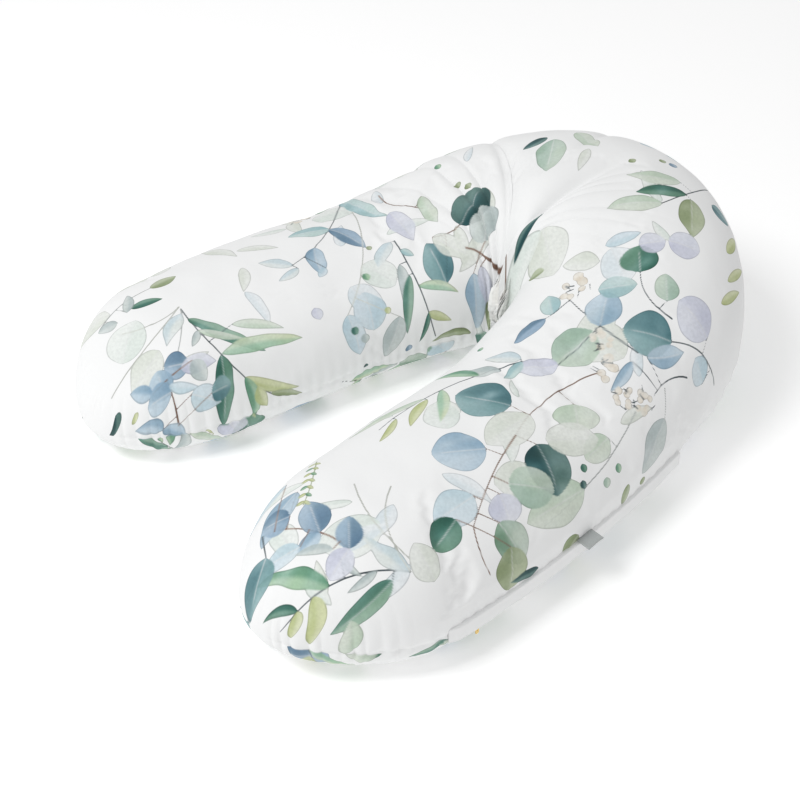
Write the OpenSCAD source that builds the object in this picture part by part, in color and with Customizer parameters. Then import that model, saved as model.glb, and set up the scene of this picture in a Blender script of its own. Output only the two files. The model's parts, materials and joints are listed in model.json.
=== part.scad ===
// Nursing pillow: a stuffed roll bent into a tight U, in a zipped cotton cover.
// The pillow rests on z = 0 with +Z up. +Y points to the closed end of the U and the arms reach to -Y.
// The origin is on the resting surface, under the middle of the pillow's bounding box.
// All sizes are millimetres. "right" is +X, the arm with the zip and the label.

/* [Roll] */
// Length of each half of the roll, along its centreline from the middle of the bend to the tip
half_len = 770; // [765:5:780]
// Width of the roll at the middle of the bend
bend_w = 318; // [310:2:330]
// Width of the arms, even along the zip
arm_w = 276; // [270:2:284]
// Twice the outer half's width at the tips, before they round off
tip_outer_w = 220; // [200:5:230]
// Twice the inner half's width at the tips, before they round off
tip_inner_w = 212; // [192:5:222]
// Height of the roll at the bend, where the stuffing is crowded together
bend_h = 264; // [248:4:272]
// Height of the arms
arm_h = 154; // [148:2:166]
// Length of each rounded tip
tip_round = 150; // [140:5:150]
// Height of the seams along the arms
seam_h = 51; // [49:1:54]
// How much higher the seams run at the middle of the bend
seam_rise = 50; // [44:1:54]
// How boxy the top half of the cross-section is: 1 is an ellipse, less is fuller
fullness = 0.73; // [0.7:0.01:0.85]
// How boxy the bottom half of the cross-section is
under_fullness = 1; // [0.9:0.02:1]
// Depth of the underside that is pressed flat by the pillow's weight
pressed_flat = 15; // [13:1:18]

/* [Bend] */
// Degrees that the right arm's side turns through in the bend
right_bend = 69; // [65:1:74]
// Degrees that the left arm's side turns through in the bend
left_bend = 77; // [72:1:80]
// Degrees that the right arm curves further, from the bend to its tip
right_curl = 21; // [16:1:26]
// Degrees that the left arm curves further, from the bend to its tip
left_curl = 34; // [28:1:38]
// Degrees either side of the middle at which the roll flexes open
flex_at = 30; // [27:1:36]
// Gap between the parts of the roll at each flex line
flex_gap = 1; // [0.5:0.5:2]

/* [Cloth] */
// Thickness of the cover's cotton with its hem turned in
cover_t = 1.5; // [1:0.1:1.6]
// Space between the cover and the liner at the sides
ease_side = 8; // [7.5:0.5:10]
// Space between the cover and the liner at the top and underside
ease_top = 3; // [2.6:0.2:4]
// Thickness of the liner's cloth
liner_t = 1.2; // [0.8:0.1:1.5]
// Space between the liner and the stuffing in this model
stuffing_ease = 2.8; // [2.6:0.2:3.2]
// Half the width of the slit that the two panels leave at a sewn seam
seam_slit = 0.6; // [0.4:0.1:1]

/* [Zip] */
// Path length from the middle of the bend to the zip's top end
zip_from = 265; // [260:5:280]
// Path length from the middle of the bend to the zip's closed end, near the right arm's tip
zip_to = 590; // [570:5:595]
// Half the width of the slit that the zip closes
zip_slit = 6; // [5.8:0.1:6.5]
// Width of each zip tape
tape_w = 11; // [10:0.5:11]
// Thickness of the zip tapes
tape_t = 0.6; // [0.5:0.1:0.8]
// Thickness of each coil, as a plain strip of the coil's outer size
coil_t = 2.2; // [2:0.1:2.4]
// Width of each coil
coil_w = 2.3; // [2:0.1:2.4]
// Half the slot between the two coils, which the slider's post runs in
coil_slot = 0.9; // [0.8:0.05:1]
// Depth of the coils' middle inside the cover's outermost line
zip_depth = 4.1; // [4:0.1:4.3]
// Length of the slider's body
slider_len = 9; // [9:0.5:11]
// Width of the slider's body
slider_w = 9; // [8.6:0.2:9.2]
// Length of the pull tab, from the middle of its eye to its end
pull_len = 24; // [20:1:26]
// Width of the pull tab
pull_w = 5; // [4.5:0.5:6]
// Width of the flap that hides the zip
flap_w = 21; // [19:1:24]
// Thickness of the flap, a folded strip of cotton
flap_t = 1; // [0.8:0.1:1.2]

/* [Label] */
// Path length from the middle of the bend to the middle of the label
label_at = 428; // [400:4:440]
// Width of the label along the seam
label_w = 26; // [22:1:30]
// Length of the label that shows outside the seam
label_out = 16; // [12:1:20]
// Thickness of the folded label
label_t = 1; // [0.8:0.1:1.2]

/* [Hidden] */
$fn = 48;

RIGHT = 1;
LEFT = -1;
TOP = 1;
BOTTOM = -1;
DEGREES = 180 / PI;

// ---- the roll's centreline: an arc for the bend, then a wider arc for each arm ----
pinch = 2;                       // radius left at the crotch, where the inner side is pinched shut
bend_r = bend_w / 2 + pinch;     // centreline radius of the bend
bend_at = [-35, 257.5 - bend_r]; // centre of the bend, placed so that the origin is under the middle

function bend_angle(side) = side == RIGHT ? right_bend : left_bend;
function arm_curl(side) = side == RIGHT ? right_curl : left_curl;
function bend_len(side) = bend_r * bend_angle(side) / DEGREES;
function arm_r(side) = (half_len - bend_len(side)) * DEGREES / arm_curl(side);

// Unit vector across the roll, away from the inside of the U, where the roll has turned by angle
function across(angle, side) = [side * sin(angle), cos(angle)];

// Centre of each arm's arc
function arm_centre(side) =
    bend_at + (bend_r - arm_r(side)) * across(bend_angle(side), side);

// How far the roll has turned at path length s
function turned(s, side) =
    s <= bend_len(side)
        ? s / bend_r * DEGREES
        : bend_angle(side) + (s - bend_len(side)) / arm_r(side) * DEGREES;

function centreline(s, side) =
    s <= bend_len(side)
        ? bend_at + bend_r * across(turned(s, side), side)
        : arm_centre(side) + arm_r(side) * across(turned(s, side), side);

// ---- the roll's cross-section ----
even_from = 0.33 * half_len;     // an arm's width is even from here
outer_even_to = 0.8 * half_len;  // its outer half tapers from here to the tip, clear of the zip
inner_even_to = 0.6 * half_len;  // its inner half tapers from here

function smooth(t) = let (u = min(max(t, 0), 1)) u * u * (3 - 2 * u);

function half_width(s, even_to, tip_w) =
    (bend_w + (arm_w - bend_w) * smooth(s / even_from)
        + (tip_w - arm_w) * smooth((s - even_to) / (half_len - even_to))) / 2;

function full_height(s) = bend_h + (arm_h - bend_h) * smooth(2 * s / half_len);
function seam_height(s) = seam_h + seam_rise * (1 - smooth(s / even_from));

function rounding(s) =
    let (q = max(0, s - half_len + tip_round) / tip_round) sqrt(1 - q * q);

function outer_reach(s) = rounding(s) * half_width(s, outer_even_to, tip_outer_w);
function inner_reach(s) = rounding(s) * half_width(s, inner_even_to, tip_inner_w);
function top_reach(s) = rounding(s) * (full_height(s) - seam_height(s));
function bottom_reach(s) = rounding(s) * (seam_height(s) + pressed_flat);

function power(up) = up > 0 ? fullness : under_fullness;
function bulge(x, up) = sign(x) * pow(abs(x), power(up));

slit_over = 6;                   // the zip's slit runs past its ends by this much
slit_from = zip_from - slit_over;
slit_to = zip_to + slit_over;

// Half the slit between the panels on the outer side, wider along the zip
function outer_slit(s, side) =
    side == RIGHT && s > slit_from && s < slit_to ? zip_slit : seam_slit;

// The angle round the section at which a panel stops, slit away from the seam. Near the tips, where the
// section is as low as the slit, it stops well short of the top.
function edge_angle(slit, reach, up) = asin(min(0.9, pow(slit / reach, 1 / power(up))));

// One point of the section at path length s: angle 0 is the outer seam, 90 the top, 180 the inner seam.
// in_side and in_top move it inwards from the cover's surface. Nothing goes below rest_z.
function skin_point(s, side, angle, in_side, in_top, rest_z) =
    let (
        path = abs(s),
        hand = s < 0 ? -side : side,
        c = bulge(cos(angle), sin(angle)),
        h = bulge(sin(angle), sin(angle)),
        rise = h > 0 ? top_reach(path) - in_top : bottom_reach(path) - in_top,
        out = c * ((c > 0 ? outer_reach(path) : inner_reach(path)) - in_side),
        at = centreline(path, hand) + out * across(turned(path, hand), hand)
    )
    [at[0], at[1], max(rest_z, seam_height(path) + h * rise)];

// ---- stations along each part of the roll ----
flex_s = bend_r * flex_at / DEGREES;
cut = flex_gap / 2;

slit_end = 0.5;                  // the slit opens to its full width within this length

// steps stations spread evenly from one path length towards another, the last left out
function spread(from, to, steps) = [for (i = [0:steps - 1]) from + (to - from) * i / steps];

middle_stations = concat(spread(cut - flex_s, flex_s - cut, 8), [flex_s - cut]);

function arm_stations(side) = concat(
    spread(flex_s + cut, bend_len(side), 4),
    spread(bend_len(side), slit_from, 3),
    [slit_from],
    spread(slit_from + slit_end, slit_to - slit_end, 12),
    [slit_to - slit_end],
    [for (a = [0:13:78]) half_len - tip_round + tip_round * sin(a)]
);

function stations(part) =
    part == "middle" ? middle_stations : arm_stations(part == "right" ? RIGHT : LEFT);
function side_of(part) = part == "left" ? LEFT : RIGHT;

// ---- lofts through closed loops of points ----
// Triangles across one loop, in a strip from its first and last points to its middle
function end_strip(first, n) = [
    for (i = [0:n / 2 - 2])
        each [
            [first + i, first + i + 1, first + n - 1 - i],
            [first + i + 1, first + n - 2 - i, first + n - 1 - i],
        ]
];

function reversed(list) = [for (i = [len(list) - 1:-1:0]) list[i]];

// Faces of a solid through loops of n points each, seen clockwise from outside, as OpenSCAD wants
function loft_faces(rings, n, flipped) =
    let (
        walls = [
            for (r = [0:rings - 2], i = [0:n - 1])
                let (
                    a = r * n + i,
                    b = r * n + (i + 1) % n,
                    c = a + n,
                    d = b + n
                )
                each [[a, b, c], [b, d, c]]
        ],
        first_end = [for (f = end_strip(0, n)) reversed(f)],
        last_end = end_strip((rings - 1) * n, n),
        faces = concat(walls, first_end, last_end)
    )
    flipped ? [for (f = faces) reversed(f)] : faces;

module loft(loops, flipped) {
    n = len(loops[0]);
    polyhedron(
        points = [for (l = loops) each l],
        faces = loft_faces(len(loops), n, flipped),
        convexity = 6
    );
}

PANEL_STEPS = 12;
ROLL_STEP = 15;

// Angles across a panel from its outer edge to its inner edge, upwards or downwards from the seam
function panel_angles(s, side, up) =
    let (
        path = abs(s),
        reach = up == TOP ? top_reach(path) : bottom_reach(path),
        first = edge_angle(outer_slit(s, side), reach, up),
        last = 180 - edge_angle(seam_slit, reach, up)
    )
    [for (i = [0:PANEL_STEPS]) up * (first + (last - first) * i / PANEL_STEPS)];

// A panel of cloth: its outer surface, then back along its inner surface
module panel(part, up, in_side, in_top, thickness) {
    side = side_of(part);
    loft(
        [
            for (s = stations(part))
                let (angles = panel_angles(s, side, up))
                concat(
                    [for (a = angles) skin_point(s, side, a, in_side, in_top, in_top)],
                    [
                        for (i = [PANEL_STEPS:-1:0])
                            skin_point(
                                s, side, angles[i],
                                in_side + thickness, in_top + thickness, in_top + thickness
                            )
                    ]
                )
        ],
        up * side > 0
    );
}

// A closed roll, for the stuffing
module roll(part, in_side, in_top) {
    side = side_of(part);
    loft(
        [
            for (s = stations(part))
                [for (a = [0:ROLL_STEP:360 - ROLL_STEP]) skin_point(s, side, a, in_side, in_top, in_top)]
        ],
        side > 0
    );
}

// ---- cover, liner and stuffing ----
liner_side = ease_side + cover_t;
liner_top = ease_top + cover_t;
stuffing_side = liner_side + liner_t + stuffing_ease;
stuffing_top = liner_top + liner_t + stuffing_ease;

module cover_panel(part, up) color("whitesmoke") panel(part, up, 0, 0, cover_t);
module liner_panel(part, up) color("white") panel(part, up, liner_side, liner_top, liner_t);
module filling(part) color("ivory") roll(part, stuffing_side, stuffing_top);

// ---- the zip: everything on it runs round the right arm's own centre ----
zip_centre = arm_centre(RIGHT);
cover_r = arm_r(RIGHT) + arm_w / 2;      // the cover's outermost line along the zip
zip_r = cover_r - zip_depth;             // the middle of the coils
zip_z = seam_h;
ZIP_FINE = 720;                          // steps in a whole turn of the zip's wide arc

function zip_angle(s) = turned(s, RIGHT);

// Turns what is drawn at the closed end of the +Y axis to path length s along the zip
module along_zip(s) {
    translate([zip_centre[0], zip_centre[1], zip_z]) rotate([0, 0, -zip_angle(s)]) children();
}

// A strip swept from one path length to another; the children draw its section as [radius, height]
module zip_strip(from, to) {
    translate([zip_centre[0], zip_centre[1], zip_z])
        rotate([0, 0, 90 - zip_angle(to)])
            rotate_extrude(angle = zip_angle(to) - zip_angle(from), $fn = ZIP_FINE) children();
}

sewn_gap = 0.05;                                // between a coil and its tape
tape_back = coil_t / 2 + sewn_gap + tape_t;     // the tapes' back, inside the coils' middle
tape_over = 5;                                  // the tapes run past the coils by this much

module zip_tape(up) {
    color("white")
        zip_strip(zip_from - tape_over, zip_to + tape_over)
            translate([zip_r - tape_back, up > 0 ? coil_slot : -coil_slot - tape_w])
                square([tape_t, tape_w]);
}

module zip_coil(up) {
    color("gainsboro")
        zip_strip(zip_from, zip_to)
            translate([zip_r - coil_t / 2, up > 0 ? coil_slot : -coil_slot - coil_w])
                square([coil_t, coil_w]);
}

stop_len = 4;
stop_gap = 0.5;

// A small clamp over the end of each coil, at the end where the slider opens to
module zip_top_stops() {
    color("silver")
        for (up = [TOP, BOTTOM])
            zip_strip(zip_from - stop_gap - stop_len, zip_from - stop_gap)
                translate([zip_r - coil_t / 2, up > 0 ? coil_slot : -coil_slot - coil_w])
                    square([coil_t, coil_w]);
}

// One clamp across both coils at the closed end
module zip_bottom_stop() {
    color("silver")
        zip_strip(zip_to + stop_gap, zip_to + stop_gap + stop_len)
            translate([zip_r - coil_t / 2, -coil_slot - coil_w])
                square([coil_t, 2 * (coil_slot + coil_w)]);
}

slider_s = zip_to - slider_len;         // where the closed zip's slider rests
plate_t = 0.9;
plate_gap = 0.3;
plate_out = coil_t / 2 + plate_gap;     // outer plate's inner face, from the coils' middle
plate_in = tape_back + plate_gap;       // inner plate's outer face, from the coils' middle
flange_t = 0.8;
divider_w = 2 * (coil_slot - plate_gap);
divider_len = slider_len / 4;
post_r = 0.9;
post_head_r = 2;
post_head_t = 0.8;
pull_t = 1;
pull_play = 0.2;                        // endwise play of the pull on the post
pull_stand = 2;                         // the pull stands this far off the slider, clear of the cover
pull_from = plate_out + plate_t + pull_stand;
post_head_from = pull_from + pull_t + pull_play;
eye_r = 2.4;
running_clearance = 0.08;

// A block from radius r0 to r1 about the zip's middle, centred on the slider
module zip_block(r0, r1, length, width) {
    translate([-length / 2, zip_r + r0, -width / 2]) cube([length, r1 - r0, width]);
}

module round_post(r0, r1, radius) {
    translate([0, zip_r + r0, 0]) rotate([-90, 0, 0]) cylinder(r = radius, h = r1 - r0);
}

// Two plates joined by a divider that runs between the coils, with a headed post for the pull
module zip_slider() {
    color("goldenrod")
        along_zip(slider_s)
            union() {
                zip_block(plate_out, plate_out + plate_t, slider_len, slider_w);
                zip_block(-plate_in - plate_t, -plate_in, slider_len, slider_w);
                for (up = [TOP, BOTTOM])
                    translate([0, 0, up * (slider_w - flange_t) / 2])
                        zip_block(-coil_t / 2 + plate_gap, plate_out + plate_t, slider_len, flange_t);
                translate([slider_len / 4, 0, 0])
                    zip_block(-plate_in - plate_t, plate_out + plate_t, divider_len, divider_w);
                round_post(plate_out, post_head_from + post_head_t, post_r);
                round_post(post_head_from, post_head_from + post_head_t, post_head_r);
            }
}

// A flat tab that hangs from the slider's post and swings sideways on it, with an eye and a small hole
module zip_pull() {
    end_r = pull_w / 2;
    color("gold")
        along_zip(slider_s)
            translate([0, zip_r + pull_from, 0])
                rotate([-90, 0, 0])
                    linear_extrude(pull_t)
                        difference() {
                            union() {
                                circle(r = eye_r);
                                translate([-end_r, 0]) square([pull_w, pull_len - end_r]);
                                translate([0, pull_len - end_r]) circle(r = end_r);
                            }
                            circle(r = post_r + running_clearance);
                            translate([0, pull_len - pull_w]) circle(r = end_r / 3);
                        }
}

// The flap is sewn in above the zip and hangs over it
flap_top = zip_slit + 1.5;
flap_clear = 0.6;                                   // the flap stands off the post's head
flap_from = post_head_from + post_head_t + flap_clear;
flap_over_open_end = 12;                            // the flap runs past the zip's ends
flap_over_closed_end = 28;

module zip_flap() {
    sewn_from = zip_depth + 0.3;
    color("white")
        zip_strip(zip_from - flap_over_open_end, zip_to + flap_over_closed_end)
            translate([zip_r, 0])
                union() {
                    translate([flap_from, flap_top - flap_w]) square([flap_t, flap_w]);
                    translate([sewn_from, flap_top - flap_t])
                        square([flap_from + flap_t - sewn_from, flap_t]);
                }
}

// A folded tab sewn into the seam above the flap
module side_label() {
    droop = 20;
    label_gap = 0.4;
    label_rise = 2;
    color("darkgray")
        along_zip(label_at)
            translate([-label_w / 2, cover_r + label_gap, flap_top + label_rise])
                rotate([-droop, 0, 0])
                    cube([label_w, label_out, label_t]);
}

cover_panel("right", TOP);  // cover_top_right
cover_panel("middle", TOP);  // cover_top_middle
cover_panel("left", TOP);  // cover_top_left
cover_panel("right", BOTTOM);  // cover_bottom_right
cover_panel("middle", BOTTOM);  // cover_bottom_middle
cover_panel("left", BOTTOM);  // cover_bottom_left
liner_panel("right", TOP);  // liner_top_right
liner_panel("middle", TOP);  // liner_top_middle
liner_panel("left", TOP);  // liner_top_left
liner_panel("right", BOTTOM);  // liner_bottom_right
liner_panel("middle", BOTTOM);  // liner_bottom_middle
liner_panel("left", BOTTOM);  // liner_bottom_left
filling("right");  // filling_right
filling("middle");  // filling_middle
filling("left");  // filling_left
zip_tape(TOP);  // zip_tape_upper
zip_tape(BOTTOM);  // zip_tape_lower
zip_coil(TOP);  // zip_coil_upper
zip_coil(BOTTOM);  // zip_coil_lower
zip_top_stops();
zip_bottom_stop();
zip_slider();
zip_pull();
zip_flap();
side_label();
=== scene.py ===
"""The looks of the nursing pillow, on top of its CAD frame.

The cover is one closed skin per half of the roll, shaped by the same section as the CAD cover. Folds are
pushed into it, a cloth simulation adds wrinkles, and vertex colours give it a watercolour print of
eucalyptus sprigs. Lengths are millimetres until a mesh is made. "right" is +X, the arm with the zip.
"""

import json
import math

import bpy
import numpy as np
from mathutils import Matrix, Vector

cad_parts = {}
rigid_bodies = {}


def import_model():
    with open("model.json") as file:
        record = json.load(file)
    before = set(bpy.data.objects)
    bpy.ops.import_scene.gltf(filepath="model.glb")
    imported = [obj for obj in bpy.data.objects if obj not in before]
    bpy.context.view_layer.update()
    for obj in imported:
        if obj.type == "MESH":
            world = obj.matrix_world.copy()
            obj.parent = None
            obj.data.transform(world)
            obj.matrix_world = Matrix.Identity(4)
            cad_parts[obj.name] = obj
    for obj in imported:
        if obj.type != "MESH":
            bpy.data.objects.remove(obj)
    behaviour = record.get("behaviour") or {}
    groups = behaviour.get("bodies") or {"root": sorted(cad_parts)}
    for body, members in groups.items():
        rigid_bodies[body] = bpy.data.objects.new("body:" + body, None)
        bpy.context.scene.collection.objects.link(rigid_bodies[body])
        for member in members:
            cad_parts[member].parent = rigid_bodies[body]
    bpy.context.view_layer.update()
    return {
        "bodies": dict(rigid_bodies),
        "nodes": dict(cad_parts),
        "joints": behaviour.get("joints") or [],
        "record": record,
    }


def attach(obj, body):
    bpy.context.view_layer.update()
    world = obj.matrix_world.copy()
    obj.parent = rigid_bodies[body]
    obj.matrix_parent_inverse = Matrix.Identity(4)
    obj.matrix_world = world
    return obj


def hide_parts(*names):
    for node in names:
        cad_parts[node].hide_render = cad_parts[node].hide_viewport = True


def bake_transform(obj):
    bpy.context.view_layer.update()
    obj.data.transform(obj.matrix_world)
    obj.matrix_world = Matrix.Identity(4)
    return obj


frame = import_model()

MM = 0.001
RIGHT = 1
LEFT = -1

# ---------------------------------------------------------------- the roll, as in the CAD source
# Path lengths run along the centre line, from the middle of the bend.
HALF_LEN = 770
BEND_W = 318
ARM_W = 276
TIP_OUTER_W = 220
TIP_INNER_W = 212
BEND_H = 264
ARM_H = 154
TIP_ROUND = 150
SEAM_H = 51
SEAM_RISE = 50
FULLNESS = 0.73
UNDER_FULLNESS = 1.0
PRESSED_FLAT = 15
BEND_R = BEND_W / 2 + 2
BEND_AT = np.array([-35.0, 257.5 - BEND_R])
BEND_ANGLE = {RIGHT: math.radians(69), LEFT: math.radians(77)}
ARM_CURL = {RIGHT: math.radians(21), LEFT: math.radians(34)}
BEND_LEN = {side: BEND_R * BEND_ANGLE[side] for side in (RIGHT, LEFT)}
ARM_R = {side: (HALF_LEN - BEND_LEN[side]) / ARM_CURL[side] for side in (RIGHT, LEFT)}
EVEN_FROM = 0.33 * HALF_LEN
ZIP_FROM = 265
ZIP_TO = 590
OUTER_EVEN_TO = 0.8 * HALF_LEN
INNER_EVEN_TO = 0.6 * HALF_LEN


def smooth(t):
    """0 up to t = 0 and 1 from t = 1 on, with a soft step between."""
    u = np.clip(t, 0, 1)
    return u * u * (3 - 2 * u)


def across(angle, side):
    """Unit vector across the roll, away from the inside of the U, where the roll has turned by angle."""
    return np.stack([side * np.sin(angle), np.cos(angle)], -1)


def arm_centre(side):
    return BEND_AT + (BEND_R - ARM_R[side]) * across(BEND_ANGLE[side], side)


def turned(path, side):
    """The angle through which the roll has turned at each path length."""
    in_arm = BEND_ANGLE[side] + (path - BEND_LEN[side]) / ARM_R[side]
    return np.where(path <= BEND_LEN[side], path / BEND_R, in_arm)


def centreline(path, side):
    out = across(turned(path, side), side)
    in_bend = (path <= BEND_LEN[side])[..., None]
    return np.where(in_bend, BEND_AT + BEND_R * out, arm_centre(side) + ARM_R[side] * out)


def half_width(path, even_to, tip_w):
    widening = (ARM_W - BEND_W) * smooth(path / EVEN_FROM)
    taper = (tip_w - ARM_W) * smooth((path - even_to) / (HALF_LEN - even_to))
    return (BEND_W + widening + taper) / 2


def full_height(path):
    return BEND_H + (ARM_H - BEND_H) * smooth(2 * path / HALF_LEN)


def seam_height(path):
    return SEAM_H + SEAM_RISE * (1 - smooth(path / EVEN_FROM))


def rounding(path):
    """The section's share of its full size, which falls off in a quarter circle at the tip."""
    q = np.clip((path - HALF_LEN + TIP_ROUND) / TIP_ROUND, 0, 1)
    return np.sqrt(1 - q * q)


def bulge(x, up):
    """A cosine or sine of the section's angle, made fuller than an ellipse's on the top."""
    return np.sign(x) * np.abs(x) ** np.where(up > 0, FULLNESS, UNDER_FULLNESS)


def skin(path, side, angle):
    """Points of the cover at path lengths (n,) and angles (n, m), counted upwards from the outer seam."""
    path = np.asarray(path, float)[:, None]
    round_off = rounding(path)
    up = np.sin(angle)
    c, h = bulge(np.cos(angle), up), bulge(up, up)
    outer = round_off * half_width(path, OUTER_EVEN_TO, TIP_OUTER_W)
    inner = round_off * half_width(path, INNER_EVEN_TO, TIP_INNER_W)
    top = round_off * (full_height(path) - seam_height(path))
    bottom = round_off * (seam_height(path) + PRESSED_FLAT)
    out = c * np.where(c > 0, outer, inner)
    rise = h * np.where(h > 0, top, bottom)
    at = centreline(path, side) + out[..., None] * across(turned(path, side), side)
    z = np.maximum(0, seam_height(path) + rise)
    return np.concatenate([at, z[..., None]], -1)


# ---------------------------------------------------------------- grids over the skin
LAST_TIP_ANGLE = math.radians(88)  # the rings stop here, and a small fan closes the tip
DENSE = np.linspace(0, math.pi, 361)  # a panel's angles, from seam to seam
UNDERSIDE_PRINT = 2000  # the underside is printed this far to the right of the top on the flat cloth


def stations(side, bend_step, arm_step):
    """Path lengths of the rings, from the middle of the bend to the tip."""
    tip_from = HALF_LEN - TIP_ROUND
    bend = np.linspace(0, BEND_LEN[side], round(BEND_LEN[side] / bend_step) + 1)
    arm = np.linspace(BEND_LEN[side], tip_from, round((tip_from - BEND_LEN[side]) / arm_step) + 1)
    tip_steps = round(TIP_ROUND * LAST_TIP_ANGLE / arm_step)
    tip = tip_from + TIP_ROUND * np.sin(np.linspace(0, LAST_TIP_ANGLE, tip_steps + 1))
    return np.concatenate([bend, arm[1:], tip[1:]])


def ring_angles(path, side, up, count):
    """Angles evenly spaced round each ring of a panel, and how far outwards each is from its crest."""
    dense = skin(path, side, np.broadcast_to(up * DENSE, (len(path), len(DENSE))))
    steps = np.linalg.norm(np.diff(dense, axis=1), axis=2)
    length = np.concatenate([np.zeros((len(path), 1)), np.cumsum(steps, 1)], 1)
    share = np.linspace(0, 1, count)
    angles = np.stack([np.interp(share * row[-1], row, up * DENSE) for row in length])
    crest = length[:, len(DENSE) // 2, None]
    return angles, crest - share * length[:, -1:]


class Grid:
    """Rings of points over one half of the roll. Columns run over the top panel, then back underneath."""

    def __init__(self, side, bend_step, arm_step, top_columns, under_columns):
        self.side = side
        self.path = stations(side, bend_step, arm_step)
        top, top_out = ring_angles(self.path, side, 1, top_columns + 1)
        under, under_out = ring_angles(self.path, side, -1, under_columns + 1)
        self.angle = np.concatenate([top, under[:, -2:0:-1]], 1)
        over = np.linspace(0, 1, top_columns + 1)
        back = np.linspace(1, 2, under_columns + 1)[1:-1]
        self.round = np.concatenate([over, back])  # 0 outer seam, 1 inner seam, 2 outer seam again
        self.points = skin(self.path, side, self.angle)
        self.plane = self.on_cloth(np.concatenate([top_out, under_out[:, -2:0:-1]], 1))

    def on_cloth(self, from_crest):
        """Each point's place on the flat printed cloth, at true scale on the arms and the outer side."""
        middle = centreline(self.path, self.side)[:, None]
        out = across(turned(self.path, self.side), self.side)[:, None]
        level = ((self.points[..., :2] - middle) * out).sum(-1)
        in_bend = 1 - smooth((self.path - 0.8 * BEND_LEN[self.side]) / 150)[:, None]
        squeezed = np.where(level < 0, in_bend, 0)
        offset = from_crest + (level - from_crest) * squeezed
        below = np.where(np.sin(self.angle) < 0, UNDERSIDE_PRINT, 0)
        return middle + offset[..., None] * out + below[..., None] * np.array([1.0, 0.0])

    def faces(self, first=0):
        """Quads over the rings, then triangles that close the tip on one more point."""
        rings, columns = self.points.shape[:2]
        ring, column = np.meshgrid(np.arange(rings - 1), np.arange(columns), indexing="ij")
        a = first + ring * columns + column
        b = first + ring * columns + (column + 1) % columns
        quads = np.stack([a, b, b + columns, a + columns], -1).reshape(-1, 4)
        last = first + (rings - 1) * columns + np.arange(columns)
        tip = np.full(columns, first + rings * columns)
        fan = np.stack([last, np.roll(last, -1), tip], -1)
        if self.side == RIGHT:
            return quads.tolist() + fan.tolist()
        return quads[:, ::-1].tolist() + fan[:, ::-1].tolist()

    def vertices(self, points):
        return np.concatenate([points.reshape(-1, 3), points[-1].mean(0)[None]])


def normals(points, side):
    """Unit normals of a grid of points, outwards."""
    along = np.gradient(points, axis=0)
    round_it = np.roll(points, -1, 1) - np.roll(points, 1, 1)
    n = np.cross(round_it, along) * side
    return n / np.maximum(np.linalg.norm(n, axis=2, keepdims=True), 1e-9)


def mesh_object(name, vertices, faces, material):
    mesh = bpy.data.meshes.new(name)
    mesh.from_pydata((np.asarray(vertices) * MM).tolist(), [], faces)
    mesh.polygons.foreach_set("use_smooth", [True] * len(mesh.polygons))
    if material:
        mesh.materials.append(material)
    made = bpy.data.objects.new(name, mesh)
    bpy.context.scene.collection.objects.link(made)
    return made


# ---------------------------------------------------------------- folds in the cloth
# Depths, widths and spacings are mm, and places round the bend are degrees from its middle.
VALLEY_DEPTH, VALLEY_W = 24, 14
BUNCH_DEPTH, BUNCH_SPACING = 6, 27
FAN_DEPTH, FAN_SPACING, FAN_R = 2.4, 19, 130
ROLLED_UNDER = 9
WEDGE_AT, WEDGE_SLANT = 40, 20  # the wedge's near edge, and how much further round it is 300 mm out
LONG_CREASE_DEPTH, LONG_CREASE_W = 6, 8
SHORT_CREASE_AT = 20
SHORT_CREASE_DEPTH, SHORT_CREASE_W = 4.5, 7
SEAM_GROOVE_DEPTH, SEAM_GROOVE_W = 1.8, 3
PUCKER_DEPTH, PUCKER_SPACING, PUCKER_W = 0.8, 17, 13
TIP_PUCKER_R = 105  # the puckers at a tip run in towards a point this far from its end
TIP_PUCKER_DEPTH, TIP_PUCKER_SPACING, TIP_PUCKER_W = 2.2, 15, 26


def heading(points):
    """Degrees round the bend's centre, right positive, and the distance from it in plan."""
    x, y = points[..., 0] - BEND_AT[0], points[..., 1] - BEND_AT[1]
    return np.degrees(np.arctan2(x, y)), np.hypot(x, y)


def pleats(along, spacing):
    """0 on the ridges and 1 in the valleys of rounded folds whose spacing wanders a little."""
    wander = 0.22 * np.sin(along / spacing * 0.9 + 1.0) + 0.15 * np.sin(along / spacing * 2.3)
    return 1 - np.abs(np.sin(math.pi * (along / spacing + wander))) ** 0.7


def window(value, low, high, fade_low, fade_high):
    """0 outside low and high, and 1 from a fade's length inside each."""
    return smooth((value - low) / fade_low) * smooth((high - value) / fade_high)


def crease(distance, width):
    """1 at a crease's bottom, which is a little rounded, falling to nothing beside it."""
    return np.exp(0.3 - np.hypot(0.3, distance / width))


def above_seam(points, path):
    """0 up to the seam, rising to 1 on the top panel."""
    return smooth((points[..., 2] - seam_height(path)[:, None] - 4) / 40)


def to_left(direction):
    return np.array([-direction[1], direction[0]])


def unevenness(points, seed, waves, wavelength, height):
    """A smooth bumpy field, the same on every run."""
    rng = np.random.RandomState(seed)
    total = np.zeros(points.shape[:-1])
    for _ in range(waves):
        direction = rng.normal(size=3)
        direction /= np.linalg.norm(direction)
        k = 2 * math.pi / (wavelength * rng.uniform(0.75, 1.4))
        total += np.sin(points @ direction * k + rng.uniform(0, 2 * math.pi))
    return height * total / math.sqrt(waves)


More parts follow.
